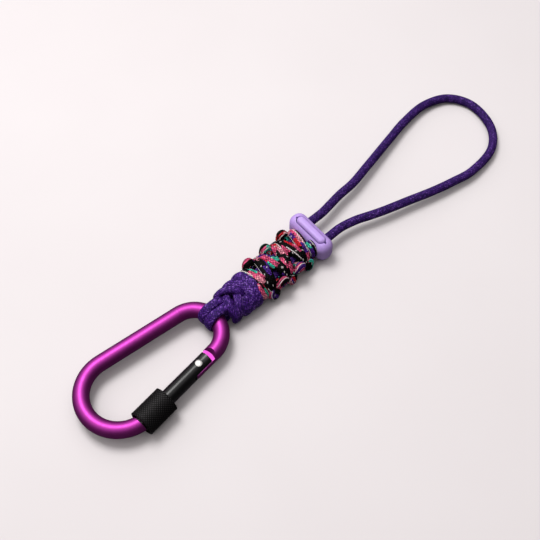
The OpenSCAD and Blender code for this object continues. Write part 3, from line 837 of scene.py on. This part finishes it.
def sleeve():
    """The locking sleeve, turned from a profile whose knurled length is cut into diamonds."""
    m = KNURLS * 4
    phi = np.arange(m) / m * 2 * math.pi
    band_from, band_to = PLAIN_END, SLEEVE_LEN - PLAIN_END
    start = [(COUNTERBORE, COUNTERBORE_TO), (COUNTERBORE, 0.15), (5.45, 0.0), (5.9, 0.0), (6.02, 0.0)]
    shoulder = [(6.16, 0.06), (SLEEVE_R, 0.2), (SLEEVE_R, band_from - 0.15)]
    count = int((band_to - band_from) / (KNURL_PITCH / 4))
    band = [(SLEEVE_R, band_from + (band_to - band_from) * k / count) for k in range(count + 1)]
    far_end = [(radius, SLEEVE_LEN - x) for radius, x in reversed(shoulder)]
    far_end += [(6.02, SLEEVE_LEN), (5.9, SLEEVE_LEN), (SLEEVE_BORE + 0.2, SLEEVE_LEN),
                (SLEEVE_BORE, SLEEVE_LEN - 0.2), (SLEEVE_BORE, COUNTERBORE_TO)]
    profile = start + shoulder + band + far_end
    rows = []
    for k, (radius, x) in enumerate(profile):
        turn, step = KNURLS * phi / (2 * math.pi), x / KNURL_PITCH
        height = np.minimum(np.abs(np.sin(math.pi * (turn + step))), np.abs(np.sin(math.pi * (turn - step))))
        cut = KNURL_DEPTH if 0 <= k - len(start + shoulder) < len(band) else 0.0
        r = radius - cut * (1 - height)
        rows.append(RIVET + ALONG * (SLEEVE_FROM + x) + ACROSS * (r * np.cos(phi))[:, None]
                    + Z_AXIS * (r * np.sin(phi))[:, None])
    rows.append(rows[0])
    build = Build()
    along = np.array([x for _, x in profile] + [profile[0][1]])
    build.grid(np.array(rows), along, np.arange(m + 1) / m)
    return build.make("knurled_sleeve", knurled)


sleeve_obj = sleeve()
weld = bmesh.new()
weld.from_mesh(sleeve_obj.data)
bmesh.ops.remove_doubles(weld, verts=weld.verts, dist=1e-7)
bmesh.ops.recalc_face_normals(weld, faces=weld.faces)
weld.to_mesh(sleeve_obj.data)
weld.free()
stand_for(sleeve_obj, "locking_sleeve", "sleeve")

# ---------------------------------------------------------------- springs

BORE_END = -21.5                # where the gate's bore stops, from the rivet


def closing_spring(name, node, body, foot, way):
    """The CAD spring, copied in spring steel, riding body in place of the node."""
    obj = bpy.data.objects.new(name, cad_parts[node].data.copy())
    bpy.context.scene.collection.objects.link(obj)
    dress(obj, spring_steel)
    foot, way = Vector(foot) * MM, Vector(way)
    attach(obj, body)
    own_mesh(obj)
    stand_for(obj, node)


closing_spring("gate_coil_spring", "gate_spring", "gate",
               RIVET + ALONG * BORE_END, ALONG)
closing_spring("lock_coil_spring", "cord_lock_spring", "cord_lock",
               (LOCK_X, AXIS_Y, LOCK_FLOOR), (0, 0, 1))

# ---------------------------------------------------------------- CAD parts that stay

for node, material in (("carabiner_body", magenta), ("gate", black), ("gate_rivet", steel),
                       ("latch_pin", steel), ("gate_plunger", steel)):
    dress(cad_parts[node], material)

# ---------------------------------------------------------------- floor, light and camera

FLOOR_Z = -7.0                  # just under the lowest points of the knot and the loop
FLOOR_REACH = 1500.0
FLOOR_CORNERS = [(x * FLOOR_REACH * MM, y * FLOOR_REACH * MM, FLOOR_Z * MM)
                 for x, y in ((-1, -1), (1, -1), (1, 1), (-1, 1))]

floor_mesh = bpy.data.meshes.new("floor")
floor_mesh.from_pydata(FLOOR_CORNERS, [], [(0, 1, 2, 3)])
floor = bpy.data.objects.new("floor", floor_mesh)
bpy.context.scene.collection.objects.link(floor)
s = Shader("pale floor")
spots = s.noise(object_coords(s), 9.0, 4.0)
tone = s.mix(spots, full(rgb(202, 197, 199)), full(rgb(209, 205, 207)))
rays = s.node("ShaderNodeLightPath")    # darker in bounced light and in the metal's reflections
tone = s.mix(rays.outputs["Is Diffuse Ray"], tone, full(rgb(150, 146, 148)))
tone = s.mix(rays.outputs["Is Glossy Ray"], tone, full(rgb(84, 80, 84)))
dress(floor, s.set(Base_Color=tone, Roughness=0.7, Specular_IOR_Level=0.1))

LOOK_AT = Vector((0.04772, 0.00173, 0.0))
EYE = Vector((-0.09311, -0.15303, 0.36243))
RIGHT = Vector((0.740, -0.673, 0.0))    # the camera's directions, level with the floor
AWAY = Vector((0.673, 0.740, 0.0))
UP = Vector((0, 0, 1))


def lamp(name, place, size, power, colour):
    """A round area light that faces the object."""
    data = bpy.data.lights.new(name, "AREA")
    data.shape = "DISK"
    data.size = size
    data.energy = power
    data.color = colour
    obj = bpy.data.objects.new(name, data)
    bpy.context.scene.collection.objects.link(obj)
    obj.location = place
    obj.rotation_euler = (LOOK_AT - place).to_track_quat("-Z", "Y").to_euler()


TO_KEY = (AWAY * 0.43 - RIGHT * 0.45 + UP * 1.49).normalized()    # the key light is ahead and to the left
KEY_DISTANCE, KEY_SIZE, KEY_POWER = 0.75, 0.36, 4.6
lamp("key", LOOK_AT + TO_KEY * KEY_DISTANCE, KEY_SIZE, KEY_POWER, (1.0, 0.985, 0.965))

# The room: bright round the key light, dim towards the horizon on the far side of it.
world = bpy.data.worlds.new("studio")
world.use_nodes = True
tree = world.node_tree
background = tree.nodes["Background"]
coords = tree.nodes.new("ShaderNodeTexCoord")
facing = tree.nodes.new("ShaderNodeVectorMath")
facing.operation = "DOT_PRODUCT"
facing.inputs[1].default_value = TO_KEY
fall = tree.nodes.new("ShaderNodeValToRGB")
fall.color_ramp.interpolation = "B_SPLINE"
ROOM_LEVELS = [(0.30, 0.07), (0.52, 0.16), (0.72, 0.95)]    # how far it faces the key, how bright it is
stops = fall.color_ramp.elements
for at, level in ROOM_LEVELS:
    stop = stops[0] if at == ROOM_LEVELS[0][0] else stops.new(at)
    stop.position = at
    stop.color = (level * 1.03, level * 0.985, level * 0.98, 1)
stops[-1].position = 1.0
stops[-1].color = (1.0, 0.99, 0.98, 1)
tree.links.new(coords.outputs["Generated"], facing.inputs[0])
tree.links.new(facing.outputs["Value"], fall.inputs[0])
tree.links.new(fall.outputs[0], background.inputs[0])
background.inputs[1].default_value = 1.28
bpy.context.scene.world = world

camera = bpy.data.objects.new("camera", bpy.data.cameras.new("camera"))
camera.data.lens = 60
camera.data.sensor_width = 36
camera.data.clip_start = 0.01
camera.location = EYE
camera.rotation_euler = (LOOK_AT - EYE).to_track_quat("-Z", "Y").to_euler()
bpy.context.scene.collection.objects.link(camera)
bpy.context.scene.camera = camera
bpy.context.scene.view_settings.view_transform = "Standard"
